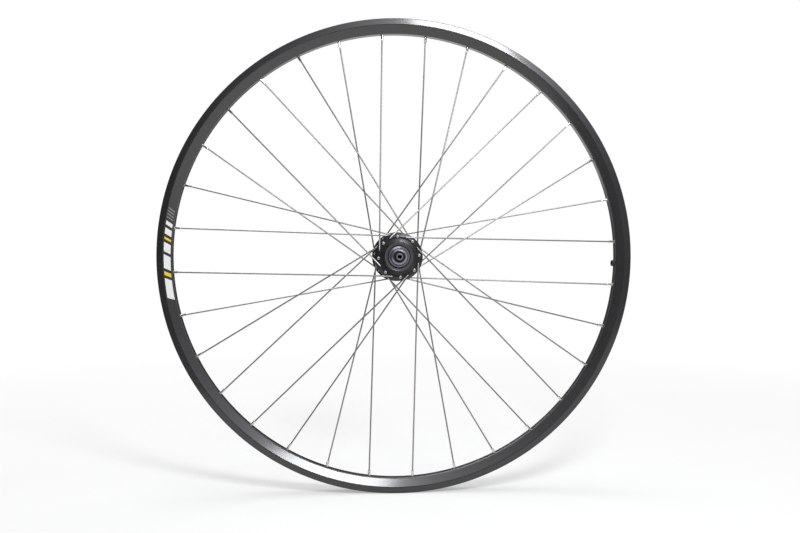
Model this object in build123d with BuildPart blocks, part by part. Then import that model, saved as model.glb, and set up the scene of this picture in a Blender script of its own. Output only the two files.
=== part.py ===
from build123d import *
import os
from math import cos, radians, sin, sqrt

# Bicycle front wheel for a disc brake: a double-wall alloy rim, spokes laced three-cross and a hub that turns
# on two cartridge bearings. Millimetres, axle along Y, origin at the wheel's centre, brake side at +Y, +Z up.

# Rim section
rim_diameter = 634.0
rim_width = 24.0
rim_depth = 19.2
wall_height = 8.2
crest_width = 11.0
tyre_width = 19.0
hook_undercut = 0.9
bead_depth = 6.0
well_depth = 10.5
well_width = 10.0
side_wall = 1.3
tyre_bed = 1.3
spoke_bed = 2.0
access_hole_diameter = 8.5

# Lacing: each set is four spokes, two on each flange
spoke_sets = 8
crosses = 3
first_nipple_angle = 3.92
nipple_stagger = 1.0
hole_sides = 6

# Spokes, drawn as eight-sided wire
wire_diameter = 2.0
wire_sides = 8
spoke_head_diameter = 4.2
spoke_head_height = 1.2
elbow_reach = 0.9
spoke_seat_gap = 0.1
rub_gap = 0.06
flange_hole_clearance = 0.3

# Nipples
nipple_diameter = 4.0
nipple_sides = 8
nipple_reach = 8.0
nipple_head_diameter = 6.0
nipple_head_height = 1.5
nipple_seat_gap = 0.6
nipple_hole_clearance = 0.3
thread_clearance = 0.05
spoke_end_inset = 0.5

# Valve hole and its adapter sleeve
valve_diameter = 6.5
adapter_diameter = 8.4
adapter_head_height = 1.0
adapter_head_clearance = 0.2
adapter_reach = 4.0
adapter_clearance = 0.05

# Hub shell
right_flange_y = -34.5
right_flange_diameter = 63.0
right_hole_inset = 4.85
left_flange_y = 21.0
left_flange_diameter = 67.0
left_hole_inset = 3.9
flange_thickness = 3.4
flange_bevel = 1.8
spoke_ring_inset = 2.4
web_rise = 1.0
flare_diameter = 40.0
flare_length = 7.0
barrel_diameter = 29.0
collar_wall = 4.0
collar_length = 2.5
collar_crest = 0.8
collar_dish = 1.6
neck_diameter = 39.0
hub_bore = 20.0

# Brake disc mount on the left end
disc_boss_depth = 9.0
disc_boss_diameter = 54.0
disc_bolt_circle = 44.0
disc_bolt_count = 6
disc_bolt_hole = 4.2
disc_bolt_depth = 8.0
scallop_diameter = 16.0
pilot_diameter = 34.9
pilot_length = 2.2

# Cartridge bearings
bearing_outer = 26.0
bearing_bore = 10.0
bearing_width = 8.0
left_seat_lip = 0.8
race_thickness = 1.6
ball_count = 7
ball_clearance = 0.04
cage_width = 0.8
cage_thickness = 1.2
cage_gap = 0.15
seal_thickness = 0.8
seal_inset = 0.3
seal_clearance = 0.1
bearing_fit = 0.01

# Axle and end caps, between the fork ends
fork_gap = 100.0
right_cap_length = 10.0
left_cap_length = 9.0
axle_middle_diameter = 13.0
axle_bore = 5.2
axle_end_inset = 3.0
cap_nub_diameter = 9.0
cap_nub_length = 5.0
cap_boss_diameter = 12.6
cap_lip_overlap = 1.0
cap_lip_clearance = 1.0
cap_lip_gap = 1.2
cap_lip_width = 2.5
cap_shoulder_diameter = 21.0
cap_face_diameter = 16.0
cap_bevel = 1.6
cap_fit = 0.02

# Places that follow from the sizes above
rim_radius = rim_diameter / 2
bead_radius = rim_radius - bead_depth
well_radius = rim_radius - well_depth
crest_radius = rim_radius - rim_depth
fold_radius = rim_radius - wall_height
hollow_floor_radius = crest_radius + spoke_bed
hollow_roof_radius = well_radius - tyre_bed
bed_middle_radius = crest_radius + spoke_bed / 2
wire_radius = wire_diameter / 2
spoke_count = 4 * spoke_sets
nipple_pitch = 360 / spoke_count
lacing_angle = crosses * 2 * nipple_pitch
valve_angle = first_nipple_angle - nipple_pitch / 2
right_race_face_y = right_cap_length - fork_gap / 2
left_race_face_y = fork_gap / 2 - left_cap_length
right_bearing_y = right_race_face_y + bearing_width / 2
left_bearing_y = left_race_face_y - bearing_width / 2
cap_lip_radius = bearing_outer / 2 + cap_lip_overlap
right_hole_circle = right_flange_diameter - 2 * right_hole_inset
left_hole_circle = left_flange_diameter - 2 * left_hole_inset

os.makedirs("parts", exist_ok=True)


def write(builder, name):
    builder.part.label = name
    export_step(builder.part, f"parts/{name}.step")


def polar(radius, angle, y):
    return Vector(radius * cos(radians(angle)), y, radius * sin(radians(angle)))


def radial_plane(radius, angle, y=0):
    return Plane(origin=polar(radius, angle, y), z_dir=polar(1, angle, 0))


def along_axle(y):
    return Plane.XZ.offset(-y)


# Rim: an extruded section rolled into a hoop, hollow between the tyre bed and the spoke bed
side_slope = (rim_width - crest_width) / 2 / (fold_radius - crest_radius)
side_wall_y = side_wall * sqrt(1 + side_slope**2)


def hollow_half(radius):
    return crest_width / 2 + (radius - crest_radius) * side_slope - side_wall_y


def both_sides(half):
    return half + [(-y, radius) for y, radius in reversed(half)]


rim_outline = both_sides(
    [
        (crest_width / 2, crest_radius),
        (rim_width / 2, fold_radius),
        (rim_width / 2, rim_radius),
        (tyre_width / 2, rim_radius),
        (tyre_width / 2 + hook_undercut, bead_radius),
        (well_width / 2, well_radius),
    ]
)
rim_hollow = both_sides(
    [
        (hollow_half(hollow_floor_radius), hollow_floor_radius),
        (hollow_half(hollow_roof_radius), hollow_roof_radius),
    ]
)


# Nipples stand evenly round the rim, each a little to the side of the flange that its spoke comes from. Over
# each hole in the spoke bed, the tyre bed has a wider one, where the nipple goes in.
def flange_side(k):
    return -1 if k % 2 == 0 else 1


def nipple_angle(k):
    return first_nipple_angle + k * nipple_pitch


def nipple_plane(k, radius=bed_middle_radius):
    return radial_plane(radius, nipple_angle(k), flange_side(k) * nipple_stagger)


with BuildPart() as rim:
    with BuildSketch(Plane.YZ):
        with BuildLine():
            Polyline(*rim_outline, close=True)
        make_face()
        with BuildLine():
            Polyline(*rim_hollow, close=True)
        make_face(mode=Mode.SUBTRACT)
    revolve(axis=Axis.Y)
    with BuildSketch(*[nipple_plane(k) for k in range(spoke_count)]):
        RegularPolygon(nipple_diameter / 2 + nipple_hole_clearance, hole_sides, major_radius=False)
    extrude(amount=spoke_bed, both=True, mode=Mode.SUBTRACT)
    with BuildSketch(*[nipple_plane(k, well_radius) for k in range(spoke_count)]):
        RegularPolygon(access_hole_diameter / 2, hole_sides, major_radius=False)
    extrude(amount=2 * tyre_bed, both=True, mode=Mode.SUBTRACT)
    with BuildSketch(radial_plane(crest_radius, valve_angle)):
        Circle(adapter_diameter / 2 + adapter_clearance)
    extrude(amount=rim_depth, both=True, mode=Mode.SUBTRACT)
write(rim, "rim")

# Valve hole adapter: a sleeve through both beds, with its head on the tyre bed
adapter_foot_radius = crest_radius - adapter_reach
adapter_seat_radius = well_radius + adapter_clearance
with BuildPart() as valve_hole_adapter:
    with BuildSketch(radial_plane(adapter_foot_radius, valve_angle)):
        Circle(adapter_diameter / 2)
    extrude(amount=adapter_seat_radius - adapter_foot_radius)
    with BuildSketch(radial_plane(adapter_seat_radius, valve_angle)):
        Circle(well_width / 2 - adapter_head_clearance)
    extrude(amount=adapter_head_height)
    with BuildSketch(radial_plane(adapter_foot_radius, valve_angle)):
        Circle(valve_diameter / 2)
    extrude(amount=rim_depth, mode=Mode.SUBTRACT)
write(valve_hole_adapter, "valve_hole_adapter")


# Spokes: of each flange's spokes, every other one leads and lies on the flange's outer face. At its last
# crossing it passes inside a trailing spoke of the same flange, and both are bent there.
def spoke_route(k):
    side = flange_side(k)
    turn = 1 if k % 4 < 2 else -1
    out = turn * side
    flange_y = right_flange_y if side < 0 else left_flange_y
    hole_radius = (right_hole_circle if side < 0 else left_hole_circle) / 2
    hole_angle = nipple_angle(k) + turn * lacing_angle
    face = flange_thickness / 2 + spoke_seat_gap
    head = polar(hole_radius, hole_angle, flange_y - out * face)
    corner = polar(hole_radius, hole_angle, flange_y + out * (face + wire_radius))
    nipple = nipple_plane(k).origin
    crossing_radius = (bed_middle_radius * hole_radius * sin(radians(lacing_angle))) / (
        bed_middle_radius * sin(radians(nipple_pitch))
        + hole_radius * sin(radians(lacing_angle - nipple_pitch))
    )
    crossing = polar(crossing_radius, nipple_angle(k) + turn * nipple_pitch, 0)
    crossed_share = (crossing.X - corner.X) / (nipple.X - corner.X)
    crossing.Y = flange_y + (nipple.Y - flange_y) * crossed_share - out * (wire_radius + rub_gap)
    stub_end = corner - Vector(0, out * elbow_reach, 0)
    leg_start = corner + (crossing - corner).normalized() * elbow_reach
    return [head, stub_end, leg_start, crossing, nipple]


def nipple_axis(k):
    crossing, nipple = spoke_route(k)[-2:]
    return Plane(origin=nipple, z_dir=nipple - crossing)


nipple_head_start = spoke_bed / 2 + nipple_seat_gap
nipple_top = nipple_head_start + nipple_head_height


def make_spoke(k):
    route = spoke_route(k)
    route[-1] = nipple_axis(k).offset(nipple_top - spoke_end_inset).origin
    with BuildPart() as spoke:
        with BuildLine():
            Polyline(*route)
        with BuildSketch(Plane(origin=route[0], z_dir=route[1] - route[0])):
            RegularPolygon(wire_radius, wire_sides)
        sweep(transition=Transition.RIGHT)
        with BuildSketch(Plane(origin=route[0], z_dir=route[0] - route[1])):
            RegularPolygon(spoke_head_diameter / 2, wire_sides)
        extrude(amount=spoke_head_height)
    return spoke


# Nipples: an eight-sided body through the spoke bed, a head inside the rim and a bore for the spoke's end
def make_nipple(k):
    foot = nipple_axis(k).offset(-spoke_bed / 2 - nipple_reach)
    length = nipple_top + spoke_bed / 2 + nipple_reach
    with BuildPart() as nipple:
        with BuildSketch(foot):
            RegularPolygon(nipple_diameter / 2, nipple_sides)
        extrude(amount=length)
        with BuildSketch(nipple_axis(k).offset(nipple_head_start)):
            RegularPolygon(nipple_head_diameter / 2, nipple_sides)
        extrude(amount=nipple_head_height)
        with BuildSketch(foot):
            RegularPolygon(wire_radius + thread_clearance, hole_sides, major_radius=False)
        extrude(amount=length, mode=Mode.SUBTRACT)
    return nipple


# One set of four spokes and nipples is repeated round the wheel
first_spokes = [make_spoke(k) for k in range(4)]
first_nipples = [make_nipple(k) for k in range(4)]
for k in range(spoke_count):
    with BuildPart() as spoke:
        add(first_spokes[k % 4].part.rotate(Axis.Y, -(k // 4) * 4 * nipple_pitch))
    write(spoke, f"spoke_{k + 1:02d}")
with BuildPart() as spoke_nipples:
    add(
        [
            first_nipples[k % 4].part.rotate(Axis.Y, -(k // 4) * 4 * nipple_pitch)
            for k in range(spoke_count)
        ]
    )
write(spoke_nipples, "spoke_nipples")

# Hub shell: turned from one bar, with the six-bolt disc mount and two spoke flanges. The web within each ring
# of spoke holes rises towards the axle.
half_flange = flange_thickness / 2
right_seat_floor_y = right_bearing_y + bearing_width / 2
left_seat_floor_y = left_bearing_y - bearing_width / 2
left_shell_end_y = left_race_face_y + left_seat_lip
collar_end_y = right_race_face_y - collar_length
disc_face_y = left_shell_end_y - pilot_length
disc_boss_back_y = disc_face_y - disc_boss_depth
seat_radius = bearing_outer / 2 + bearing_fit
recess_radius = cap_lip_radius + cap_lip_clearance
collar_radius = recess_radius + collar_wall
shell_outline = [
    (collar_end_y + collar_dish, recess_radius),
    (collar_end_y, collar_radius - collar_crest),
    (collar_end_y, collar_radius),
    (right_flange_y - half_flange - web_rise, collar_radius),
    (right_flange_y - half_flange, right_hole_circle / 2 - spoke_ring_inset),
    (right_flange_y - half_flange, right_hole_circle / 2),
    (right_flange_y - half_flange + flange_bevel, right_flange_diameter / 2),
    (right_flange_y + half_flange, right_flange_diameter / 2),
    (right_flange_y + half_flange, flare_diameter / 2),
    (right_flange_y + half_flange + flare_length, barrel_diameter / 2),
    (left_flange_y - half_flange - flare_length, barrel_diameter / 2),
    (left_flange_y - half_flange, flare_diameter / 2),
    (left_flange_y - half_flange, left_flange_diameter / 2),
    (left_flange_y + half_flange - flange_bevel, left_flange_diameter / 2),
    (left_flange_y + half_flange, left_hole_circle / 2),
    (left_flange_y + half_flange, left_hole_circle / 2 - spoke_ring_inset),
    (left_flange_y + half_flange + web_rise, neck_diameter / 2),
    (disc_boss_back_y, neck_diameter / 2),
    (disc_boss_back_y, disc_boss_diameter / 2),
    (disc_face_y, disc_boss_diameter / 2),
    (disc_face_y, pilot_diameter / 2),
    (left_shell_end_y, pilot_diameter / 2),
    (left_shell_end_y, seat_radius),
    (left_seat_floor_y, seat_radius),
    (left_seat_floor_y, hub_bore / 2),
    (right_seat_floor_y, hub_bore / 2),
    (right_seat_floor_y, seat_radius),
    (right_race_face_y, seat_radius),
    (right_race_face_y, recess_radius),
]
flanges = (
    (right_flange_y, right_hole_circle, first_nipple_angle),
    (left_flange_y, left_hole_circle, first_nipple_angle + nipple_pitch),
)
with BuildPart() as hub_shell:
    with BuildSketch(Plane.YZ):
        with BuildLine():
            Polyline(*shell_outline, close=True)
        make_face()
    revolve(axis=Axis.Y)
    for flange_y, hole_circle, first_hole_angle in flanges:
        with BuildSketch(along_axle(flange_y)):
            with PolarLocations(hole_circle / 2, spoke_count // 2, first_hole_angle):
                RegularPolygon(wire_radius + flange_hole_clearance, hole_sides, major_radius=False)
        extrude(amount=flange_thickness, both=True, mode=Mode.SUBTRACT)
    with BuildSketch(along_axle(disc_face_y)):
        with PolarLocations(disc_bolt_circle / 2, disc_bolt_count):
            Circle(disc_bolt_hole / 2)
    extrude(amount=disc_bolt_depth, mode=Mode.SUBTRACT)
    with BuildSketch(along_axle(disc_face_y)):
        with PolarLocations(disc_boss_diameter / 2, disc_bolt_count, 180 / disc_bolt_count):
            Circle(scallop_diameter / 2)
    extrude(amount=disc_boss_depth, mode=Mode.SUBTRACT)
write(hub_shell, "hub_shell")


# Bearings: two races, the balls and cage that roll between them, and a seal over the outer side
outer_track_radius = bearing_outer / 2 - race_thickness
inner_track_radius = bearing_bore / 2 + race_thickness
ball_circle_radius = (outer_track_radius + inner_track_radius) / 2
ball_diameter = outer_track_radius - inner_track_radius - 2 * ball_clearance


def make_ring(name, y, width, outer_radius, inner_radius):
    with BuildPart() as ring:
        with BuildSketch(along_axle(y)):
            Circle(outer_radius)
            Circle(inner_radius, mode=Mode.SUBTRACT)
        extrude(amount=width / 2, both=True)
    write(ring, name)


# A ball is a cube cut back along its edges, with all 24 corners on the ball's sphere
ball_cube = ball_diameter * (1 + sqrt(2)) / sqrt(5 + 2 * sqrt(2))
ball_cut = ball_cube / (2 + sqrt(2))


def make_balls(name, y):
    with BuildPart(along_axle(y)) as balls:
        with PolarLocations(ball_circle_radius, ball_count):
            Box(ball_cube, ball_cube, ball_cube)
        chamfer(balls.edges(), ball_cut)
    write(balls, name)


# The cage is a flat ring beside the balls, with as many corners as there are balls and gaps between them
def make_cage(name, y):
    with BuildPart() as cage:
        with BuildSketch(along_axle(y)):
            RegularPolygon(ball_circle_radius + cage_thickness / 2, 2 * ball_count)
            RegularPolygon(ball_circle_radius - cage_thickness / 2, 2 * ball_count, mode=Mode.SUBTRACT)
        extrude(amount=cage_width / 2, both=True)
    write(cage, name)


for side, bearing_y, outer_end in (("right", right_bearing_y, -1), ("left", left_bearing_y, 1)):
    make_ring(f"{side}_bearing_outer_race", bearing_y, bearing_width, bearing_outer / 2, outer_track_radius)
    make_ring(f"{side}_bearing_inner_race", bearing_y, bearing_width, inner_track_radius, bearing_bore / 2)
    make_balls(f"{side}_bearing_balls", bearing_y)
    make_cage(
        f"{side}_bearing_cage",
        bearing_y - outer_end * (ball_diameter / 2 + cage_gap + cage_width / 2),
    )
    make_ring(
        f"{side}_bearing_seal",
        bearing_y + outer_end * (bearing_width / 2 - seal_inset - seal_thickness / 2),
        seal_thickness,
        outer_track_radius - bearing_fit,
        inner_track_radius + seal_clearance,
    )

# Axle: a hollow shaft, stepped up between the inner races
axle_end_radius = bearing_bore / 2 - bearing_fit
cap_face_y = fork_gap / 2
axle_end_y = cap_face_y - axle_end_inset
with BuildPart() as axle:
    with BuildSketch(Plane.YZ):
        with BuildLine():
            Polyline(
                (-axle_end_y, axle_bore / 2),
                (-axle_end_y, axle_end_radius),
                (right_seat_floor_y, axle_end_radius),
                (right_seat_floor_y, axle_middle_diameter / 2),
                (left_seat_floor_y, axle_middle_diameter / 2),
                (left_seat_floor_y, axle_end_radius),
                (axle_end_y, axle_end_radius),
                (axle_end_y, axle_bore / 2),
                close=True,
            )
        make_face()
    revolve(axis=Axis.Y)
write(axle, "axle")


# End caps: each is pushed on the axle against an inner race, shields the bearing with its lip and carries the
# nub that drops into the fork end
def make_end_cap(name, out, race_face_y):
    lip_y = abs(race_face_y) + cap_lip_gap
    socket_radius = axle_end_radius + cap_fit
    outline = [
        (abs(race_face_y), socket_radius),
        (abs(race_face_y), cap_boss_diameter / 2),
        (lip_y, cap_lip_radius),
        (lip_y + cap_lip_width, cap_lip_radius),
        (cap_face_y - cap_bevel, cap_shoulder_diameter / 2),
        (cap_face_y, cap_face_diameter / 2),
        (cap_face_y, cap_nub_diameter / 2),
        (cap_face_y + cap_nub_length, cap_nub_diameter / 2),
        (cap_face_y + cap_nub_length, axle_bore / 2),
        (axle_end_y + cap_fit, axle_bore / 2),
        (axle_end_y + cap_fit, socket_radius),
    ]
    with BuildPart() as cap:
        with BuildSketch(Plane.YZ):
            with BuildLine():
                Polyline(*[(out * y, radius) for y, radius in outline], close=True)
            make_face()
        revolve(axis=Axis.Y)
    write(cap, name)


make_end_cap("right_end_cap", -1, right_race_face_y)
make_end_cap("left_end_cap", 1, left_race_face_y)
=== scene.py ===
import math

import bmesh
import bpy
from mathutils import Matrix, Vector


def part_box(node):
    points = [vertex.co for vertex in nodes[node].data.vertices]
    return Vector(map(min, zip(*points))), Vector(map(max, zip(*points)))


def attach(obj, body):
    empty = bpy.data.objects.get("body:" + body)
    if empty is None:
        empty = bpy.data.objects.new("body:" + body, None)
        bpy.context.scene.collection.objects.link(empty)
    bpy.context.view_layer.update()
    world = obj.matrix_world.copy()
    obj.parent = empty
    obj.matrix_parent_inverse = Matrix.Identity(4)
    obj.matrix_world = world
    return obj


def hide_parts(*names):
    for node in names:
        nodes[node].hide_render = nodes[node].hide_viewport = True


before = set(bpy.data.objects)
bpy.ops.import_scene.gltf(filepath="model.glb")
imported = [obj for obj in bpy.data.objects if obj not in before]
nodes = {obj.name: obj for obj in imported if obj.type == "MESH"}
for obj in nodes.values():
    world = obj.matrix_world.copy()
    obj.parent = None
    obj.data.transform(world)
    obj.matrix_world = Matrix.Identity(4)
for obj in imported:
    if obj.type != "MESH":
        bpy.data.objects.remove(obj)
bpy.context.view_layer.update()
mm = 0.001  # the settings give lengths in millimetres and angles in degrees
print("frame loaded:", len(nodes), "nodes")


# Sums on a Flow add Math nodes to its material
class Flow:
    def __init__(self, paint, socket):
        self.paint = paint
        self.socket = socket

    def sum(self, operation, first, second=0.0):
        return self.paint.node("ShaderNodeMath", {"operation": operation}, {0: first, 1: second})

    def __add__(self, other):
        return self.sum("ADD", self, other)

    def __sub__(self, other):
        return self.sum("SUBTRACT", self, other)

    def __rsub__(self, other):
        return self.sum("SUBTRACT", other, self)

    def __mul__(self, other):
        return self.sum("MULTIPLY", self, other)

    def __pow__(self, other):
        return self.sum("POWER", self, other)

    def __gt__(self, other):
        return self.sum("GREATER_THAN", self, other)

    def __lt__(self, other):
        return self.sum("LESS_THAN", self, other)

    def __abs__(self):
        return self.sum("ABSOLUTE", self)

    __radd__ = __add__
    __rmul__ = __mul__

    def larger(self, other):
        return self.sum("MAXIMUM", self, other)

    def between(self, low, high):
        return (self > low) * (self < high)


class Paint:
    def __init__(self, holder):
        holder.use_nodes = True
        self.holder = holder
        self.tree = holder.node_tree
        self.tree.nodes.clear()

    def node(self, kind, settings, sockets, output=0):
        made = self.tree.nodes.new(kind)
        for key, value in settings.items():
            setattr(made, key, value)
        for key, value in sockets.items():
            plug = made.inputs[key]
            if isinstance(value, Flow):
                self.tree.links.new(value.socket, plug)
            else:
                plug.default_value = value
        return Flow(self, made.outputs[output]) if made.outputs else None

    def split(self, vector):
        return [self.node("ShaderNodeSeparateXYZ", {}, {0: vector}, axis) for axis in "XYZ"]

    def join(self, x, y, z):
        return self.node("ShaderNodeCombineXYZ", {}, {0: x, 1: y, 2: z})

    # object coordinates in metres
    def place(self):
        return self.node("ShaderNodeTexCoord", {}, {}, "Object")

    # object coordinates in millimetres
    def spot(self):
        return self.node("ShaderNodeVectorMath", {"operation": "SCALE"}, {0: self.place(), "Scale": 1 / mm})

    # degrees round the axle, radius and place along it
    def polar(self):
        x, y, z = self.split(self.spot())
        angle = x.sum("ARCTAN2", z, x) * (180 / math.pi)
        return angle, (x * x + z * z) ** 0.5, y

    def noise(self, vector, scale, detail):
        return self.node("ShaderNodeTexNoise", {}, {"Vector": vector, "Scale": scale, "Detail": detail})

    # 0 as far as start, 1 from end on
    def ramp(self, value, start, end):
        return self.node("ShaderNodeMapRange", {}, {0: value, 1: start, 2: end, 3: 0.0, 4: 1.0})

    def blend(self, share, first, second):
        picks = {0: share, 6: first, 7: second}  # 6, 7 and output 2 are the colours of a Mix node
        return self.node("ShaderNodeMix", {"data_type": "RGBA"}, picks, 2)

    # another colour and roughness where the mask is 1
    def overlay(self, mask, colour, rough, tone, matt):
        return self.blend(mask, colour, rgb(tone)), rough + mask * (matt - rough)

    def bump(self, height, strength, depth):
        sockets = {"Height": height, "Strength": strength, "Distance": depth * mm}
        return self.node("ShaderNodeBump", {}, sockets)

    # 1 for rays that meet the backdrop straight from the camera, off gloss or through glass
    def seen(self):
        kinds = ("Is Camera Ray", "Is Glossy Ray", "Is Transmission Ray")
        camera, glossy, through = [self.node("ShaderNodeLightPath", {}, {}, kind) for kind in kinds]
        return camera.larger(glossy.larger(through))

    def finish(self, sockets):
        shader = self.node("ShaderNodeBsdfPrincipled", {}, sockets)
        self.node("ShaderNodeOutputMaterial", {}, {"Surface": shader})
        return self.holder


def newPaint(name):
    return Paint(bpy.data.materials.new(name))


def rgb(colour):
    return (*colour, 1.0)


# Black anodised alloy: dyed oxide over drawn or turned metal, with lines that run round the axle
def anodised(name, look, marks):
    paint = newPaint(name)
    angle, radius, along = paint.polar()
    rounds = paint.join(radius * look["linesPerMm"], along * look["linesPerMm"], angle * look["lineDrift"])
    lines = paint.noise(rounds, 1.0, detail=3.0)
    haze = paint.noise(paint.spot(), 1 / look["hazeSize"], detail=3.0)
    grain = paint.noise(paint.spot(), 1 / look["grainSize"], detail=1.0)
    colour = paint.blend(haze, rgb(look["dark"]), rgb(look["light"]))
    rough = look["rough"] + (haze - 0.5) * look["roughHaze"] + (lines - 0.5) * look["roughLines"]
    colour, rough = marks(paint, colour, rough, angle, radius, along)
    height = lines + grain * look["grainShare"]
    return paint.finish(
        {
            "Base Color": colour,
            "Metallic": look["metal"],
            "Roughness": rough,
            "Specular IOR Level": look["gloss"],
            "Coat Weight": look["sealed"],
            "Coat Roughness": look["sealedRough"],
            "Normal": paint.bump(height, look["bump"], look["bumpDepth"]),
        }
    )


# A row of slanted bars printed on the near slope, with a hairline at the rim's joint
rimMarks = {
    "slopeLow": 299.6,
    "slopeHigh": 307.4,
    "nearSide": -6.0,
    "arcRadius": 303.5,
    "slant": 0.55,
    "white": (0.80, 0.80, 0.79),
    "yellow": (0.78, 0.56, 0.03),
    "grey": (0.20, 0.20, 0.20),
    # angle of the middle, length along the arc
    "whiteBars": ((188.05, 26.0), (181.44, 18.0), (177.85, 12.0), (173.90, 8.0), (171.91, 5.0)),
    "yellowBars": ((184.37, 5.0), (175.68, 3.0)),
    "greyBars": ((170.50, 1.6), (169.75, 1.6), (169.00, 1.6), (168.25, 1.6)),
    "rough": 0.26,
    "joint": 178.5,
    "jointWidth": 0.22,
    "jointShare": 0.8,
    "jointTone": (0.004, 0.004, 0.004),
}


def printRim(paint, colour, rough, angle, radius, along):
    turned = angle + (angle < 0) * 360  # 0 to 360, so that the bars don't meet the wrap
    arc = turned * (math.radians(1) * rimMarks["arcRadius"])
    slid = arc + (radius - rimMarks["arcRadius"]) * rimMarks["slant"]
    onSlope = radius.between(rimMarks["slopeLow"], rimMarks["slopeHigh"]) * (along < rimMarks["nearSide"])
    for ink in ("white", "yellow", "grey"):
        mask = 0.0
        for at, length in rimMarks[ink + "Bars"]:
            middle = math.radians(at) * rimMarks["arcRadius"]
            mask = mask + (abs(slid - middle) < length / 2)
        colour, rough = paint.overlay(mask * onSlope, colour, rough, rimMarks[ink], rimMarks["rough"])
    joint = math.radians(rimMarks["joint"]) * rimMarks["arcRadius"]
    seam = abs(arc - joint) < rimMarks["jointWidth"] / 2
    colour = paint.blend(seam * rimMarks["jointShare"], colour, rgb(rimMarks["jointTone"]))
    return colour, rough


rimFinish = anodised(
    "rimFinish",
    {
        "dark": (0.008, 0.008, 0.0085),
        "light": (0.014, 0.014, 0.015),
        "linesPerMm": 2.2,
        "lineDrift": 0.02,
        "hazeSize": 38.0,
        "grainSize": 0.35,
        "grainShare": 0.3,
        "rough": 0.42,
        "roughHaze": 0.08,
        "roughLines": 0.06,
        "gloss": 0.6,
        "sealed": 0.8,
        "sealedRough": 0.12,
        "metal": 0.0,
        "bump": 0.025,
        "bumpDepth": 0.05,
    },
    printRim,
)
# The collar's dished end is painted lighter all round, a painted sheen for the light it catches
dishSheen = {"from": 15.0, "to": 18.4, "beyond": -40.8, "tone": (0.075, 0.071, 0.072), "rough": 0.34}


def paintDishSheen(paint, colour, rough, angle, radius, along):
    # the band is the painted sheen on the dish
    band = radius.between(dishSheen["from"], dishSheen["to"]) * (along < dishSheen["beyond"])
    return paint.overlay(band, colour, rough, dishSheen["tone"], dishSheen["rough"])


hubFinish = anodised(
    "hubFinish",
    {
        "dark": (0.007, 0.007, 0.008),
        "light": (0.013, 0.013, 0.015),
        "linesPerMm": 3.5,
        "lineDrift": 0.01,
        "hazeSize": 16.0,
        "grainSize": 0.3,
        "grainShare": 0.3,
        "rough": 0.38,
        "roughHaze": 0.06,
        "roughLines": 0.05,
        "gloss": 0.35,
        "sealed": 0.4,
        "sealedRough": 0.17,
        "metal": 0.0,
        "bump": 0.04,
        "bumpDepth": 0.04,
    },
    paintDishSheen,
)
# Bands painted on a cap's end: painted shade in the bore, a painted reflection on the nub, a dark clamping
# face, a painted reflection on the bevel, painted shade in the groove
capShadeAndGlints = {
    "beyond": 47.0,  # from the middle of the axle
    # from radius, to radius, colour, roughness
    "bands": (
        (0.0, 2.75, (0.006, 0.006, 0.008), 0.55),
        (2.75, 4.3, (0.200, 0.200, 0.225), 0.42),
        (4.55, 7.6, (0.030, 0.030, 0.036), 0.34),
        (7.9, 10.35, (0.230, 0.230, 0.268), 0.30),
        (10.6, 11.25, (0.012, 0.012, 0.015), 0.40),
    ),
}


def paintCapShadeAndGlints(paint, colour, rough, angle, radius, along):
    # each band paints its tone on one step of the cap, most of them painted shade and painted reflections
    for start, end, tone, matt in capShadeAndGlints["bands"]:
        band = radius.between(start, end) * (abs(along) > capShadeAndGlints["beyond"])
        colour, rough = paint.overlay(band, colour, rough, tone, matt)
    return colour, rough


capFinish = anodised(
    "capFinish",
    {
        "dark": (0.120, 0.120, 0.148),
        "light": (0.150, 0.150, 0.185),
        "linesPerMm": 5.0,
        "lineDrift": 0.01,
        "hazeSize": 9.0,
        "grainSize": 0.25,
        "grainShare": 0.2,
        "rough": 0.24,
        "roughHaze": 0.06,
        "roughLines": 0.05,
        "gloss": 0.8,
        "sealed": 0.0,
        "sealedRough": 0.2,
        "metal": 0.75,
        "bump": 0.02,
        "bumpDepth": 0.03,
    },
    paintCapShadeAndGlints,
)


# Bare and plated metal: tarnish drifts over it, fine scratches change its roughness
def bareMetal(name, look):
    paint = newPaint(name)
    spot = paint.spot()
    cloud = paint.noise(spot, 1 / look["cloudSize"], detail=3.0)
    grain = paint.noise(spot, 1 / look["grainSize"], detail=2.0)
    colour = paint.blend(cloud, rgb(look["dark"]), rgb(look["light"]))
    # a tone painted within a radius of the axle: painted highlights on the spoke heads and elbows, painted
    # shade and grease in the axle's bore
    if "innerPaintedLightAndGrease" in look:
        near, far = look["innerPaintedWithin"]
        _, radius, _ = paint.polar()
        colour = paint.blend(paint.ramp(radius, far, near), colour, rgb(look["innerPaintedLightAndGrease"]))
    rough = look["rough"] + (cloud - 0.5) * look["roughCloud"] + (grain - 0.5) * look["roughGrain"]
    return paint.finish(
        {
            "Base Color": colour,
            "Metallic": 1.0,
            "Roughness": rough,
            "Normal": paint.bump(grain, look["bump"], look["bumpDepth"]),
        }
    )


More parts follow.
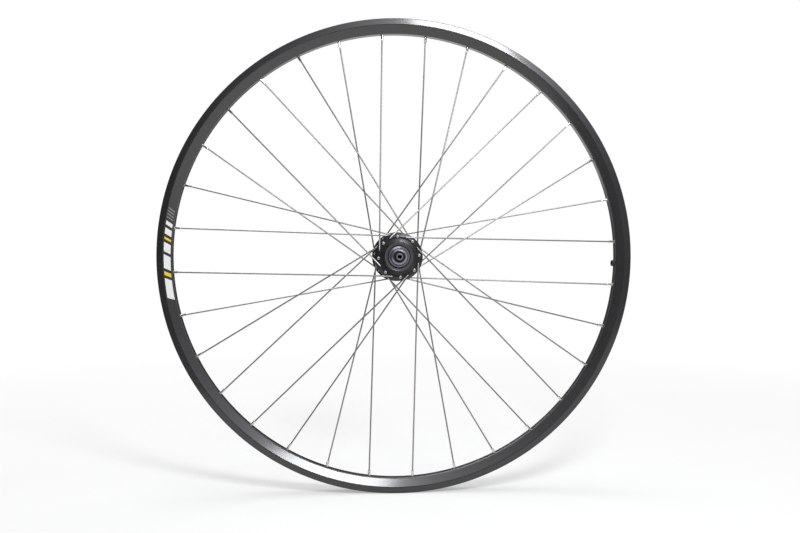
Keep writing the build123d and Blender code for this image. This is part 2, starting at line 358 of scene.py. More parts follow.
spokeFinish = bareMetal(
    "spokeFinish",
    {
        "dark": (0.256, 0.247, 0.234),
        "light": (0.384, 0.374, 0.358),
        "innerPaintedLightAndGrease": (0.51, 0.50, 0.485),  # painted highlight, brighter at the heads and elbows
        "innerPaintedWithin": (31.5, 34.5),
        "cloudSize": 14.0,
        "grainSize": 0.25,
        "rough": 0.40,
        "roughCloud": 0.08,
        "roughGrain": 0.04,
        "bump": 0.02,
        "bumpDepth": 0.02,
    },
)
nippleFinish = bareMetal(
    "nippleFinish",
    {
        "dark": (0.62, 0.60, 0.55),
        "light": (0.80, 0.78, 0.74),
        "cloudSize": 3.0,
        "grainSize": 0.2,
        "rough": 0.24,
        "roughCloud": 0.10,
        "roughGrain": 0.10,
        "bump": 0.10,
        "bumpDepth": 0.02,
    },
)
axleFinish = bareMetal(
    "axleFinish",
    {
        "dark": (0.52, 0.52, 0.54),
        "light": (0.68, 0.68, 0.70),
        "innerPaintedLightAndGrease": (0.020, 0.020, 0.022),  # painted shade in the bore, which is also dark with grease
        "innerPaintedWithin": (2.9, 3.2),
        "cloudSize": 6.0,
        "grainSize": 0.3,
        "rough": 0.40,
        "roughCloud": 0.08,
        "roughGrain": 0.14,
        "bump": 0.15,
        "bumpDepth": 0.03,
    },
)
bearingFinish = bareMetal(
    "bearingFinish",
    {
        "dark": (0.55, 0.55, 0.57),
        "light": (0.66, 0.66, 0.68),
        "cloudSize": 4.0,
        "grainSize": 0.2,
        "rough": 0.14,
        "roughCloud": 0.05,
        "roughGrain": 0.06,
        "bump": 0.05,
        "bumpDepth": 0.01,
    },
)


# Moulded plastic and rubber: a soft grain from the mould
def moulded(name, look):
    paint = newPaint(name)
    spot = paint.spot()
    cloud = paint.noise(spot, 1 / look["cloudSize"], detail=2.0)
    grain = paint.noise(spot, 1 / look["grainSize"], detail=2.0)
    return paint.finish(
        {
            "Base Color": paint.blend(cloud, rgb(look["dark"]), rgb(look["light"])),
            "Roughness": look["rough"] + (grain - 0.5) * look["roughGrain"],
            "Normal": paint.bump(grain, look["bump"], look["bumpDepth"]),
        }
    )


adapterFinish = moulded(
    "adapterFinish",
    {
        "dark": (0.010, 0.010, 0.011),
        "light": (0.020, 0.020, 0.021),
        "cloudSize": 5.0,
        "grainSize": 0.3,
        "rough": 0.42,
        "roughGrain": 0.2,
        "bump": 0.25,
        "bumpDepth": 0.05,
    },
)
sealFinish = moulded(
    "sealFinish",
    {
        "dark": (0.012, 0.012, 0.012),
        "light": (0.022, 0.022, 0.022),
        "cloudSize": 4.0,
        "grainSize": 0.2,
        "rough": 0.6,
        "roughGrain": 0.2,
        "bump": 0.3,
        "bumpDepth": 0.04,
    },
)
cageFinish = moulded(
    "cageFinish",
    {
        "dark": (0.62, 0.58, 0.46),
        "light": (0.74, 0.70, 0.58),
        "cloudSize": 4.0,
        "grainSize": 0.3,
        "rough": 0.45,
        "roughGrain": 0.15,
        "bump": 0.15,
        "bumpDepth": 0.03,
    },
)
print("finishes made:", len(bpy.data.materials))

# Modelling helpers
alongAxle = Matrix.Rotation(math.radians(-90), 4, "X")  # turns Z to +Y
pegSides = 28  # of a round cutter
spinMerge = 1e-7  # metres, doubles of a full spin
cutMerge = 1e-6  # metres, slivers where a cut meets an edge


def polarPoint(radius, angle, y):
    turn = math.radians(angle)
    return Vector((radius * math.cos(turn), y, radius * math.sin(turn))) * mm


def aimed(origin, direction):
    return Matrix.Translation(origin) @ direction.to_track_quat("Z", "Y").to_matrix().to_4x4()


# a closed outline of (height, radius, rounding) in the ZX half plane, spun round Z
def spinOutline(corners, steps, roundSteps=4):
    bm = bmesh.new()
    verts = [bm.verts.new((radius * mm, 0, height * mm)) for height, radius, _ in corners]
    bm.faces.new(verts)
    for size in sorted({rounding for _, _, rounding in corners if rounding}):
        picked = [vert for vert, corner in zip(verts, corners) if corner[2] == size]
        bmesh.ops.bevel(
            bm,
            geom=picked,
            offset=size * mm,
            segments=roundSteps,
            profile=0.5,
            affect="VERTICES",
            material=-1,
        )
    bmesh.ops.delete(bm, geom=bm.faces[:], context="FACES_ONLY")
    bmesh.ops.spin(
        bm,
        geom=bm.verts[:] + bm.edges[:],
        cent=(0, 0, 0),
        axis=(0, 0, 1),
        angle=math.tau,
        steps=steps,
        use_merge=True,
    )
    bmesh.ops.remove_doubles(bm, verts=bm.verts[:], dist=spinMerge)
    bmesh.ops.recalc_face_normals(bm, faces=bm.faces[:])
    return bm


# pushes out a new ring from a ring of edges
def nextRing(bm, edges):
    made = bmesh.ops.extrude_edge_only(bm, edges=edges)["geom"]
    verts = [item for item in made if isinstance(item, bmesh.types.BMVert)]
    kept = set(verts)
    ring = [item for item in made if isinstance(item, bmesh.types.BMEdge) and kept.issuperset(item.verts)]
    return ring, verts


# a closed start and rings at (height, radius) along the Z of a place, of which the last is given back
def stackRings(bm, stations, sides, place):
    low, first = stations[0]
    foot = place @ Matrix.Translation((0, 0, low * mm))
    bmesh.ops.create_circle(bm, cap_ends=True, radius=first * mm, segments=sides, matrix=foot)
    ring = bm.edges[:]
    for (below, was), (height, radius) in zip(stations, stations[1:]):
        ring, verts = nextRing(bm, ring)
        centre = place @ Vector((0, 0, below * mm))
        bmesh.ops.scale(bm, vec=(radius / was,) * 3, space=Matrix.Translation(-centre), verts=verts)
        bmesh.ops.translate(bm, vec=place @ Vector((0, 0, height * mm)) - centre, verts=verts)
    return ring


def cutterPeg(stations):
    bm = bmesh.new()
    ring = stackRings(bm, stations, pegSides, Matrix.Identity(4))
    bmesh.ops.edgeloop_fill(bm, edges=ring)
    bmesh.ops.recalc_face_normals(bm, faces=bm.faces[:])
    return bm


def addBody(bm, other, matrix):
    bmesh.ops.transform(other, matrix=matrix, verts=other.verts[:])
    holder = bpy.data.meshes.new("holder")
    other.to_mesh(holder)
    other.free()
    bm.from_mesh(holder)
    bpy.data.meshes.remove(holder)


def meshObject(bm, name):
    mesh = bpy.data.meshes.new(name)
    bm.to_mesh(mesh)
    bm.free()
    made = bpy.data.objects.new(name, mesh)
    bpy.context.scene.collection.objects.link(made)
    return made


def cutWith(piece, cutter):
    tool = piece.modifiers.new("cut", "BOOLEAN")
    tool.operation = "DIFFERENCE"
    tool.solver = "MANIFOLD"
    tool.object = cutter
    bpy.context.view_layer.update()
    cut = bpy.data.meshes.new_from_object(piece.evaluated_get(bpy.context.evaluated_depsgraph_get()))
    piece.modifiers.clear()
    bm = bmesh.new()
    bm.from_mesh(cut)
    bmesh.ops.remove_doubles(bm, verts=bm.verts[:], dist=cutMerge)
    bmesh.ops.dissolve_degenerate(bm, edges=bm.edges[:], dist=cutMerge)
    bm.to_mesh(cut)
    bm.free()
    old = piece.data
    cut.name = old.name
    piece.data = cut
    bpy.data.meshes.remove(old)
    bpy.data.objects.remove(cutter)


def dress(piece, finish, body, node, sharpAngle=35):
    piece.data.materials.clear()
    piece.data.materials.append(finish)
    piece.data.shade_smooth()
    piece.data.set_sharp_from_angle(angle=math.radians(sharpAngle))
    even = piece.modifiers.new("evenNormals", "WEIGHTED_NORMAL")
    even.mode = "FACE_AREA"
    even.keep_sharp = True
    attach(piece, body)
    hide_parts(node)


# Lacing: 32 spokes, on the right and left flange in turn
lacing = {
    "count": 32,
    "firstAngle": 3.92,
    "stagger": 1.0,
    "rightFlange": -34.5,
    "leftFlange": 21.0,
    "rightHoles": 26.65,
    "leftHoles": 29.6,
    "flange": 3.4,
    "crosses": 3,
    "wire": 1.0,
    "seatGap": 0.1,
    "rubGap": 0.06,
}
# Rim: the section, hollow between its beds, with holes for nipples, their way in and the valve
rimLow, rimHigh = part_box("rim")
rim = {
    "edge": rimHigh.x / mm,
    "half": rimHigh.y / mm,
    "depth": 19.2,
    "wall": 8.2,
    "crestHalf": 5.5,
    "tyreHalf": 9.5,
    "hookHeight": 1.5,
    "hookDepth": 3.0,
    "undercut": 1.1,
    "beadDepth": 6.0,
    "beadGain": 0.9,
    "wellDepth": 10.5,
    "wellHalf": 5.0,
    "skin": 1.3,
    "bed": 2.0,
    "steps": 360,
    "rounding": {
        "crest": 1.4,
        "fold": 0.7,
        "edge": 0.8,
        "hook": 0.6,
        "bead": 0.7,
        "well": 0.9,
        "hollow": 0.5,
    },
    "hollowSteps": 2,
    "nippleHole": 4.6,  # holes are given across
    "nippleReach": 1.2,
    "accessHole": 8.5,
    "accessReach": 2.2,
    "accessClear": 1.4,
    "valveHole": 8.5,
    "valveReach": 1.0,
    "countersink": 0.35,
    "clear": 0.6,  # how far a cutter stands out of the crest
}
pitch = 360 / lacing["count"]
valveAngle = lacing["firstAngle"] - pitch / 2
crest = rim["edge"] - rim["depth"]
well = rim["edge"] - rim["wellDepth"]
bedMiddle = crest + rim["bed"] / 2


def bothSides(half):
    return half + [(-y, radius, rounding) for y, radius, rounding in reversed(half)]


# even spokes go to the right flange, at -Y
def flangeSide(k):
    return -1 if k % 2 == 0 else 1


def flangeHoles(k):
    side = "right" if flangeSide(k) < 0 else "left"
    return lacing[side + "Flange"], lacing[side + "Holes"]


def nippleAngle(k):
    return lacing["firstAngle"] + k * pitch


def nipplePoint(k, radius):
    return polarPoint(radius, nippleAngle(k), flangeSide(k) * lacing["stagger"])


def makeRim():
    soft = rim["rounding"]
    edge = rim["edge"]
    tyre = rim["tyreHalf"]
    fold = edge - rim["wall"]
    outline = bothSides(
        [
            (rim["crestHalf"], crest, soft["crest"]),
            (rim["half"], fold, soft["fold"]),
            (rim["half"], edge, soft["edge"]),
            (tyre, edge, soft["edge"]),
            (tyre, edge - rim["hookHeight"], soft["hook"]),
            (tyre + rim["undercut"], edge - rim["hookDepth"], soft["hook"]),
            (tyre + rim["beadGain"], edge - rim["beadDepth"], soft["bead"]),
            (rim["wellHalf"], well, soft["well"]),
        ]
    )
    slope = (rim["half"] - rim["crestHalf"]) / (fold - crest)
    skinAcross = rim["skin"] * math.sqrt(1 + slope * slope)
    floor = crest + rim["bed"]
    roof = well - rim["skin"]
    hollow = bothSides(
        [
            (rim["crestHalf"] + (floor - crest) * slope - skinAcross, floor, soft["hollow"]),
            (rim["crestHalf"] + (roof - crest) * slope - skinAcross, roof, soft["hollow"]),
        ]
    )
    bm = spinOutline(outline, rim["steps"])
    inner = spinOutline(hollow, rim["steps"], rim["hollowSteps"])
    bmesh.ops.reverse_faces(inner, faces=inner.faces[:])
    addBody(bm, inner, Matrix.Identity(4))
    bmesh.ops.transform(bm, matrix=alongAxle, verts=bm.verts[:])
    piece = meshObject(bm, "rimHoop")
    cutters = bmesh.new()
    sink = rim["countersink"]
    clear = rim["clear"]
    small = rim["nippleHole"] / 2
    nippleWay = [(-clear, small + clear + sink), (sink, small), (rim["bed"] + rim["nippleReach"], small)]
    large = rim["accessHole"] / 2
    above = rim["accessClear"]
    accessWay = [(-rim["accessReach"], large), (-sink, large), (above, large + above + sink)]
    for k in range(lacing["count"]):
        outward = polarPoint(1, nippleAngle(k), 0)
        addBody(cutters, cutterPeg(nippleWay), aimed(nipplePoint(k, crest), outward))
        addBody(cutters, cutterPeg(accessWay), aimed(nipplePoint(k, well), outward))
    valve = rim["valveHole"] / 2
    through = rim["wellDepth"] + rim["valveReach"]
    valveWay = [(-clear, valve + clear + sink), (sink, valve), (through, valve)]
    outward = polarPoint(1, valveAngle, 0)
    addBody(cutters, cutterPeg(valveWay), aimed(polarPoint(crest, valveAngle, 0), outward))
    cutWith(piece, meshObject(cutters, "rimCutters"))
    dress(piece, rimFinish, "wheel", "rim")


makeRim()
print("rim made")

# Spokes: a mushroom head, the elbow through the flange, a slight bend at the last crossing
spoke = {
    "sides": 14,
    # height, radius
    "head": (
        (-1.2, 1.15),
        (-1.08, 1.62),
        (-0.82, 1.98),
        (-0.5, 2.1),
        (-0.22, 2.05),
        (0.0, 1.5),
        (0.12, 1.0),
    ),
    "elbow": {"radius": 1.3, "steps": 7},
    "crossing": {"radius": 60.0, "steps": 3},
    "topInset": 0.5,
    "sharpAngle": 50,
}
# Nipples: a round tip, square flats for the key, a collar through the rim and a domed head inside it
nipple = {
    "sides": 16,
    "top": 3.1,
    "bore": 1.05,
    "flats": 1.62,
    # height, radius, square or not
    "rings": (
        (-9.0, 1.45, False),
        (-8.75, 1.66, False),
        (-7.7, 1.74, False),
        (-7.3, 1.98, True),
        (-2.9, 1.98, True),
        (-2.5, 1.98, False),
        (1.6, 1.98, False),
        (2.1, 2.85, False),
        (2.35, 2.98, False),
        (2.75, 2.85, False),
        (3.1, 2.2, False),
    ),
}


# under the head, elbow, last crossing, middle of the rim's bed
def spokeRoute(k):
    turn = 1 if k % 4 < 2 else -1  # which way round the hub the spoke trails
    out = turn * flangeSide(k)  # the face of the flange that the wire leaves by
    flangeY, holeRadius = flangeHoles(k)
    swing = lacing["crosses"] * 2 * pitch
    holeAngle = nippleAngle(k) + turn * swing
    face = lacing["flange"] / 2 + lacing["seatGap"]
    head = polarPoint(holeRadius, holeAngle, flangeY - out * face)
    corner = polarPoint(holeRadius, holeAngle, flangeY + out * (face + lacing["wire"]))
    end = nipplePoint(k, bedMiddle)
    crossRadius = (bedMiddle * holeRadius * math.sin(math.radians(swing))) / (
        bedMiddle * math.sin(math.radians(pitch)) + holeRadius * math.sin(math.radians(swing - pitch))
    )
    crossing = polarPoint(crossRadius, nippleAngle(k) + turn * pitch, 0)
    share = (crossing.x - corner.x) / (end.x - corner.x)
    slide = flangeY * mm + (end.y - flangeY * mm) * share
    crossing.y = slide - out * (lacing["wire"] + lacing["rubGap"]) * mm
    return head, corner, crossing, end


# moves the ring on to a corner, round it and out along the next run
def bendRing(bm, ring, start, corner, after, bend):
    radius = bend["radius"] * mm
    ahead = (corner - start).normalized()
    leaving = (after - corner).normalized()
    angle = ahead.angle(leaving)
    tangent = radius * math.tan(angle / 2)
    ring, verts = nextRing(bm, ring)
    bmesh.ops.translate(bm, vec=corner - ahead * tangent - start, verts=verts)
    inward = (leaving - ahead * math.cos(angle)).normalized()
    spun = bmesh.ops.spin(
        bm,
        geom=ring,
        cent=corner - ahead * tangent + inward * radius,
        axis=ahead.cross(leaving).normalized(),
        angle=angle,
        steps=bend["steps"],
    )["geom_last"]
    ring = [item for item in spun if isinstance(item, bmesh.types.BMEdge)]
    return ring, corner + leaving * tangent


def makeSpoke(k):
    head, corner, crossing, end = spokeRoute(k)
    bm = bmesh.new()
    place = aimed(head, (corner - head).normalized())
    ring = stackRings(bm, spoke["head"], spoke["sides"], place)
    neck, _ = spoke["head"][-1]
    start = place @ Vector((0, 0, neck * mm))
    ring, start = bendRing(bm, ring, start, corner, crossing, spoke["elbow"])
    ring, start = bendRing(bm, ring, start, crossing, end, spoke["crossing"])
    ring, verts = nextRing(bm, ring)
    stop = end + (end - crossing).normalized() * (nipple["top"] - spoke["topInset"]) * mm
    bmesh.ops.translate(bm, vec=stop - start, verts=verts)
    bmesh.ops.edgeloop_fill(bm, edges=ring)
    bmesh.ops.recalc_face_normals(bm, faces=bm.faces[:])
    piece = meshObject(bm, f"spokeWire{k + 1:02d}")
    dress(piece, spokeFinish, "wheel", f"spoke_{k + 1:02d}", spoke["sharpAngle"])


for k in range(lacing["count"]):
    makeSpoke(k)
print("spokes made:", lacing["count"])


def addNipple(bm, k):
    _, _, crossing, end = spokeRoute(k)
    body = bmesh.new()
    below = nipple["rings"][0][0]
    foot = Matrix.Translation((0, 0, below * mm))
    bmesh.ops.create_circle(body, radius=nipple["bore"] * mm, segments=nipple["sides"], matrix=foot)
    boreStart = body.edges[:]
    ring = boreStart
    for height, radius, square in nipple["rings"] + ((nipple["top"], nipple["bore"], False),):
        ring, verts = nextRing(body, ring)
        limit = (nipple["flats"] if square else radius) * mm
        for vert in verts:
            around = Vector((vert.co.x, vert.co.y, 0)).normalized() * radius * mm
            vert.co.x = max(-limit, min(limit, around.x))
            vert.co.y = max(-limit, min(limit, around.y))
        bmesh.ops.translate(body, vec=(0, 0, (height - below) * mm), verts=verts)
        below = height
    bmesh.ops.bridge_loops(body, edges=ring + boreStart)
    bmesh.ops.recalc_face_normals(body, faces=body.faces[:])
    addBody(bm, body, aimed(end, end - crossing))


nippleSet = bmesh.new()
for k in range(lacing["count"]):
    addNipple(nippleSet, k)
dress(meshObject(nippleSet, "nippleSet"), nippleFinish, "wheel", "spoke_nipples")
print("nipples made")

# Valve hole adapter: a sleeve with a rounded foot and its head on the tyre bed
adapter = {
    "foot": 293.8,
    "seat": 306.55,
    "top": 307.55,
    "sleeve": 4.2,
    "head": 4.8,
    "bore": 3.25,
    "steps": 64,
    "rounding": {"bore": 0.3, "foot": 0.7, "seat": 0.2, "head": 0.4},
}


def makeAdapter():
    soft = adapter["rounding"]
    outline = [
        (adapter["foot"], adapter["bore"], soft["bore"]),
        (adapter["foot"], adapter["sleeve"], soft["foot"]),
        (adapter["seat"], adapter["sleeve"], 0),
        (adapter["seat"], adapter["head"], soft["seat"]),
        (adapter["top"], adapter["head"], soft["head"]),
        (adapter["top"], adapter["bore"], soft["bore"]),
    ]
    bm = spinOutline(outline, adapter["steps"])
    bmesh.ops.transform(bm, matrix=aimed(Vector(), polarPoint(1, valveAngle, 0)), verts=bm.verts[:])
    piece = meshObject(bm, "valveAdapter")
    dress(piece, adapterFinish, "wheel", "valve_hole_adapter")


makeAdapter()
print("valve hole adapter made")

# Hub shell: flanges, flares and barrel turned in one, with the disc mount's bosses on the left
hub = {
    "steps": 192,
    "collarEnd": -42.5,
    "collarDish": 1.6,
    "collarCrest": 0.8,
    "recess": 15.0,
    "collar": 19.0,
    "rightFlange": 31.5,
    "leftFlange": 33.5,
    "bevel": 1.8,
    "spokeRing": 2.4,
    "webRise": 1.0,
    "flare": 20.0,
    "flareLength": 7.0,
    "barrel": 14.5,
    "neck": 19.5,
    "bossBack": 30.6,
    "boss": 27.0,
    "discFace": 39.6,
    "pilot": 17.45,
    "leftEnd": 41.8,
    "seat": 13.01,
    "bore": 10.0,
    "leftFloor": 33.0,
    "rightFloor": -32.0,
    "rightSeatEnd": -40.0,
    "spokeHole": 2.6,  # across, while rings and bolt holes are radii
    "countersink": 0.25,
    "clear": 0.6,  # how far a cutter stands out of a flange
    "boltCount": 6,
    "boltCircle": 22.0,
    "boltHole": 2.1,
    "threadDepth": 0.3,
    "threadPitch": 0.8,
    "boltDepth": 8.0,
    "boltMouth": 0.5,
    "boltFlare": 0.1,
    "scallop": 8.0,
    "scallopFoot": 0.05,  # just past the back of the bosses
    "scallopClear": 1.0,
    "rounding": {
        "crest": 0.35,
        "collar": 0.45,
        "web": 1.2,
        "ring": 0.9,
        "flange": 0.6,
        "flare": 2.5,
        "barrel": 3.5,
        "neck": 2.0,
        "bossBack": 0.8,
        "bossFace": 0.5,
        "pilotFoot": 0.2,
        "pilotEnd": 0.5,
        "mouth": 0.3,
        "seatEnd": 0.2,
    },
}


def hubOutline(halfFlange):
    soft = hub["rounding"]
    rightOut = lacing["rightFlange"] - halfFlange
    rightIn = lacing["rightFlange"] + halfFlange
    leftIn = lacing["leftFlange"] - halfFlange
    leftOut = lacing["leftFlange"] + halfFlange
    return [
        (hub["collarEnd"] + hub["collarDish"], hub["recess"], 0),
        (hub["collarEnd"], hub["collar"] - hub["collarCrest"], soft["crest"]),
        (hub["collarEnd"], hub["collar"], soft["collar"]),
        (rightOut - hub["webRise"], hub["collar"], soft["web"]),
        (rightOut, lacing["rightHoles"] - hub["spokeRing"], soft["ring"]),
        (rightOut, lacing["rightHoles"], soft["ring"]),
        (rightOut + hub["bevel"], hub["rightFlange"], soft["flange"]),
        (rightIn, hub["rightFlange"], soft["flange"]),
        (rightIn, hub["flare"], soft["flare"]),
        (rightIn + hub["flareLength"], hub["barrel"], soft["barrel"]),
        (leftIn - hub["flareLength"], hub["barrel"], soft["barrel"]),
        (leftIn, hub["flare"], soft["flare"]),
        (leftIn, hub["leftFlange"], soft["flange"]),
        (leftOut - hub["bevel"], hub["leftFlange"], soft["flange"]),
        (leftOut, lacing["leftHoles"], soft["ring"]),
        (leftOut, lacing["leftHoles"] - hub["spokeRing"], soft["ring"]),
        (leftOut + hub["webRise"], hub["neck"], soft["neck"]),
        (hub["bossBack"], hub["neck"], soft["neck"]),
        (hub["bossBack"], hub["boss"], soft["bossBack"]),
        (hub["discFace"], hub["boss"], soft["bossFace"]),
        (hub["discFace"], hub["pilot"], soft["pilotFoot"]),
        (hub["leftEnd"], hub["pilot"], soft["pilotEnd"]),
        (hub["leftEnd"], hub["seat"], soft["mouth"]),
        (hub["leftFloor"], hub["seat"], 0),
        (hub["leftFloor"], hub["bore"], soft["mouth"]),
        (hub["rightFloor"], hub["bore"], soft["mouth"]),
        (hub["rightFloor"], hub["seat"], 0),
        (hub["rightSeatEnd"], hub["seat"], soft["seatEnd"]),
        (hub["rightSeatEnd"], hub["recess"], soft["mouth"]),
    ]


# rings in place of a thread, with a flared mouth
def boltThread():
    hole = hub["boltHole"]
    step = hub["threadPitch"]
    mouth = hub["boltMouth"]
    stations = [(-hub["boltDepth"], hole)]
    for turn in range(int(hub["boltDepth"] / step) - 1):
        top = (turn + 1) * step - hub["boltDepth"]
        stations.append((top - step / 2, hole + hub["threadDepth"]))
        stations.append((top, hole))
    stations.append((-mouth, hole + hub["boltFlare"]))
    stations.append((mouth, hole + hub["boltFlare"] + 2 * mouth))
    return stations


def makeHub():
    halfFlange = lacing["flange"] / 2
    bm = spinOutline(hubOutline(halfFlange), hub["steps"])
    bmesh.ops.transform(bm, matrix=alongAxle, verts=bm.verts[:])
    piece = meshObject(bm, "hubShell")
    cutters = bmesh.new()
    hole = hub["spokeHole"] / 2
    sink = hub["countersink"]
    reach = halfFlange + hub["clear"]
    mouth = hole + sink + hub["clear"]
    spokeWay = [(-reach, mouth), (sink - halfFlange, hole), (halfFlange - sink, hole), (reach, mouth)]
    for k in range(lacing["count"]):
        y, radius = flangeHoles(k)
        spot = polarPoint(radius, nippleAngle(k), y)
        addBody(cutters, cutterPeg(spokeWay), Matrix.Translation(spot) @ alongAxle)
    foot = hub["bossBack"] - hub["discFace"] - hub["scallopFoot"]
    scallop = [(foot, hub["scallop"]), (hub["scallopClear"], hub["scallop"])]
    thread = boltThread()
    for bolt in range(hub["boltCount"]):
        angle = bolt * 360 / hub["boltCount"]
        spot = polarPoint(hub["boltCircle"], angle, hub["discFace"])
        addBody(cutters, cutterPeg(thread), Matrix.Translation(spot) @ alongAxle)
        spot = polarPoint(hub["boss"], angle + 180 / hub["boltCount"], hub["discFace"])
        addBody(cutters, cutterPeg(scallop), Matrix.Translation(spot) @ alongAxle)
    cutWith(piece, meshObject(cutters, "hubCutters"))
    dress(piece, hubFinish, "wheel", "hub_shell")


makeHub()
print("hub made")

# End caps: lip, cone and the nub that drops into the fork end
cap = {
    "steps": 128,
    "rightRace": 40.0,
    "leftRace": 41.0,
    "socket": 5.01,
    "boss": 6.3,
    "lipGap": 1.2,
    "lip": 14.0,
    "lipWidth": 2.5,
    "shoulder": 10.5,
    "bevel": 1.6,
    "groove": 1.1,
    "grooveFloor": 9.8,
    "face": 50.0,
    "faceRadius": 8.0,
    "nub": 4.5,
    "nubLength": 5.0,
    "bore": 2.6,
    "axleEnd": 47.02,
    "rounding": {
        "boss": 0.2,
        "lipBack": 0.3,
        "lip": 0.6,
        "cone": 0.15,
        "shoulder": 0.25,
        "face": 0.5,
        "nubFoot": 0.25,
        "nub": 0.6,
        "bore": 0.4,
    },
}


def makeCap(name, node, out, raceFace):
    soft = cap["rounding"]
    lipY = raceFace + cap["lipGap"]
    shoulderY = cap["face"] - cap["bevel"]
    grooveY = shoulderY - cap["groove"]
    coneSlope = (cap["lip"] - cap["shoulder"]) / (shoulderY - lipY - cap["lipWidth"])
    nubEnd = cap["face"] + cap["nubLength"]
    outline = [
        (raceFace, cap["socket"], soft["boss"]),
        (raceFace, cap["boss"], soft["boss"]),
        (lipY, cap["lip"], soft["lipBack"]),
        (lipY + cap["lipWidth"], cap["lip"], soft["lip"]),
        (grooveY, cap["shoulder"] + cap["groove"] * coneSlope, soft["cone"]),
        (grooveY, cap["grooveFloor"], 0),
        (shoulderY, cap["grooveFloor"], 0),
        (shoulderY, cap["shoulder"], soft["shoulder"]),
        (cap["face"], cap["faceRadius"], soft["face"]),
        (cap["face"], cap["nub"], soft["nubFoot"]),
        (nubEnd, cap["nub"], soft["nub"]),
        (nubEnd, cap["bore"], soft["bore"]),
        (cap["axleEnd"], cap["bore"], 0),
        (cap["axleEnd"], cap["socket"], 0),
    ]
    bm = spinOutline(outline, cap["steps"])
    bmesh.ops.transform(bm, matrix=Matrix.Rotation(math.radians(-90 * out), 4, "X"), verts=bm.verts[:])
    dress(meshObject(bm, name), capFinish, "axle", node)


makeCap("rightCap", "right_end_cap", -1, cap["rightRace"])
makeCap("leftCap", "left_end_cap", 1, cap["leftRace"])
print("end caps made")

# Bearing balls, round
balls = {
    "count": 7,
    "circle": 9.0,
    "size": 4.72,  # across
    "rightMiddle": -36.0,
    "leftMiddle": 37.0,
    "sides": 24,
    "rings": 12,
}


def makeBalls(side):
    bm = bmesh.new()
    for ball in range(balls["count"]):
        spot = polarPoint(balls["circle"], ball * 360 / balls["count"], balls[side + "Middle"])
        bmesh.ops.create_uvsphere(
            bm,
            u_segments=balls["sides"],
            v_segments=balls["rings"],
            radius=balls["size"] / 2 * mm,
            matrix=Matrix.Translation(spot),
        )
    piece = meshObject(bm, side + "Balls")
    dress(piece, bearingFinish, "bearing_balls", side + "_bearing_balls")


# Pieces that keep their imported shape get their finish
keptFinishes = {
    "outer_race": bearingFinish,
    "inner_race": bearingFinish,
    "cage": cageFinish,
    "seal": sealFinish,
}
for side in ("left", "right"):
    makeBalls(side)
    for what, finish in keptFinishes.items():
        nodes[f"{side}_bearing_{what}"].material_slots[0].material = finish
nodes["axle"].material_slots[0].material = axleFinish
print("bearings and axle finished")

# Studio: pale floor, soft lamps, camera where the photograph was taken
studio = {
    "floorSize": 8.0,
    "floorCells": 8,
    "floorPale": (0.84, 0.84, 0.83),
    "floorWorn": (0.80, 0.80, 0.79),
    "floorCloud": 6.0,
    "nearWhite": 0.35,  # how much of the floor by the wheel is plain white, all of it from fadeEnd on
    "fadeStart": 0.25,
    "fadeEnd": 1.6,
    "white": (1.0, 1.0, 1.0),
    "fill": 0.55,
    "camera": (-0.0640, -1.1006, 0.0038),
    "yaw": -3.5215,
    "pitch": -0.8835,
    "lens": 36.8,
    "sensor": 36.0,
    "clipStart": 0.01,
}
lamps = (
    # name, place, size, watts, colour
    ("keyLamp", (0.188, -0.74, 0.462), 0.22, 4.8, (0.94, 0.96, 1.0)),
    ("topLamp", (-0.3, 0.3, 1.7), 1.2, 20.0, (0.97, 0.98, 1.0)),
    ("backLamp", (-0.35, 1.2, 0.75), 0.35, 3.0, (0.97, 0.98, 1.0)),
)
# dark cards before and behind, seen by reflections alone, so that dark and bright metal keep their form
flags = (
    # name, middle, lean about X, turn about Z, width, height
    ("frontFlag", (0, -2.0, 0.85), 90, 0, 7.6, 2.6),
    ("backFlag", (0, 3.2, 0.85), 90, 0, 7.6, 2.6),
    ("leftFlag", (-1.25, -0.85, 0.6), 90, 90, 2.3, 1.8),
    ("lowFlag", (-0.65, -1.36, -0.30), 0, 0, 1.9, 1.28),
)
flagCloth = {"dark": (0.020, 0.020, 0.022), "light": (0.030, 0.030, 0.032), "weave": 40.0, "rough": 0.9}


def makeFloor():
    bm = bmesh.new()
    cells = studio["floorCells"]
    bmesh.ops.create_grid(bm, x_segments=cells, y_segments=cells, size=studio["floorSize"] / 2)
    bmesh.ops.translate(bm, vec=(0, 0, rimLow.z), verts=bm.verts[:])
    floor = meshObject(bm, "studioFloor")
    paint = newPaint("studioFloor")
    place = paint.place()
    x, y, _ = paint.split(place)
    away = paint.ramp((x * x + y * y) ** 0.5, studio["fadeStart"], studio["fadeEnd"])
    cloud = paint.noise(place, studio["floorCloud"], detail=3.0)
    pale = paint.blend(cloud, rgb(studio["floorPale"]), rgb(studio["floorWorn"]))
    matt = paint.node("ShaderNodeBsdfDiffuse", {}, {"Color": pale, "Roughness": 1.0})
    white = paint.node("ShaderNodeEmission", {}, {"Color": rgb(studio["white"]), "Strength": 1.0})
    share = paint.seen() * (studio["nearWhite"] + away * (1 - studio["nearWhite"]))
    shown = paint.node("ShaderNodeMixShader", {}, {0: share, 1: matt, 2: white})
    paint.node("ShaderNodeOutputMaterial", {}, {"Surface": shown})
    paint.holder.cycles.emission_sampling = "NONE"  # a backdrop, not a lamp
    floor.data.materials.append(paint.holder)


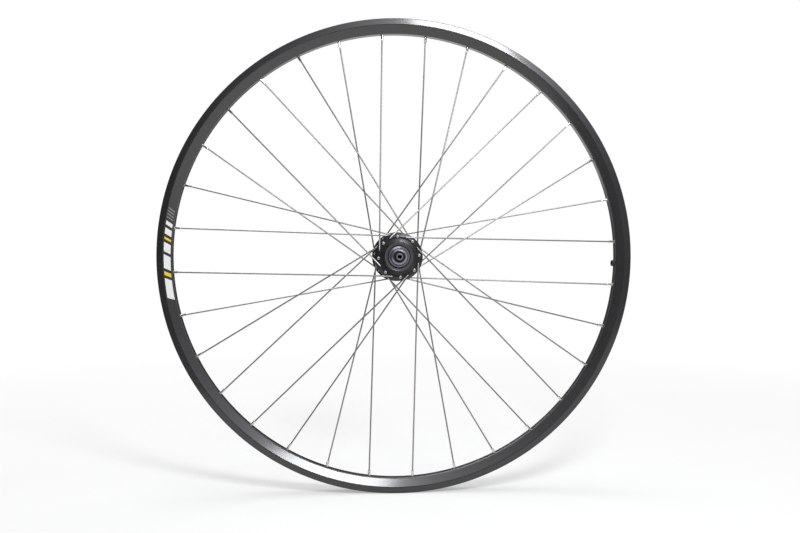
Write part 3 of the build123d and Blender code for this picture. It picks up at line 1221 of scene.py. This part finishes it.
def makeWorld():
    world = bpy.data.worlds.new("studioRoom")
    bpy.context.scene.world = world
    paint = Paint(world)
    white = rgb(studio["white"])
    fill = paint.node("ShaderNodeBackground", {}, {"Color": white, "Strength": studio["fill"]})
    backdrop = paint.node("ShaderNodeBackground", {}, {"Color": white, "Strength": 1.0})
    shown = paint.node("ShaderNodeMixShader", {}, {0: paint.seen(), 1: fill, 2: backdrop})
    paint.node("ShaderNodeOutputWorld", {}, {"Surface": shown})


def makeLamps():
    for name, place, size, watts, colour in lamps:
        data = bpy.data.lights.new(name, "AREA")
        data.shape = "SQUARE"
        data.size = size
        data.energy = watts
        data.color = colour
        lamp = bpy.data.objects.new(name, data)
        lamp.location = place
        lamp.rotation_euler = (-Vector(place)).to_track_quat("-Z", "Y").to_euler()
        lamp.visible_camera = False
        bpy.context.scene.collection.objects.link(lamp)


def makeFlags():
    paint = newPaint("flagCloth")
    weave = paint.noise(paint.place(), flagCloth["weave"], detail=2.0)
    colour = paint.blend(weave, rgb(flagCloth["dark"]), rgb(flagCloth["light"]))
    cloth = paint.finish({"Base Color": colour, "Roughness": flagCloth["rough"]})
    for name, middle, lean, turn, width, height in flags:
        bm = bmesh.new()
        bmesh.ops.create_grid(bm, x_segments=1, y_segments=1, size=0.5)
        bmesh.ops.scale(bm, vec=(width, height, 1), verts=bm.verts[:])
        stand = Matrix.Rotation(math.radians(turn), 4, "Z") @ Matrix.Rotation(math.radians(lean), 4, "X")
        bmesh.ops.transform(bm, matrix=Matrix.Translation(middle) @ stand, verts=bm.verts[:])
        flag = meshObject(bm, name)
        flag.data.materials.append(cloth)
        flag.visible_camera = False
        flag.visible_diffuse = False
        flag.visible_transmission = False
        flag.visible_shadow = False


def makeCamera():
    data = bpy.data.cameras.new("photoCamera")
    data.sensor_width = studio["sensor"]
    data.lens = studio["lens"]
    data.clip_start = studio["clipStart"]
    camera = bpy.data.objects.new("photoCamera", data)
    camera.location = studio["camera"]
    camera.rotation_euler = (math.radians(90 + studio["pitch"]), 0, math.radians(studio["yaw"]))
    bpy.context.scene.collection.objects.link(camera)
    bpy.context.scene.camera = camera


makeFloor()
makeWorld()
makeLamps()
makeFlags()
makeCamera()
bpy.context.scene.view_settings.view_transform = "Standard"
print("studio made")
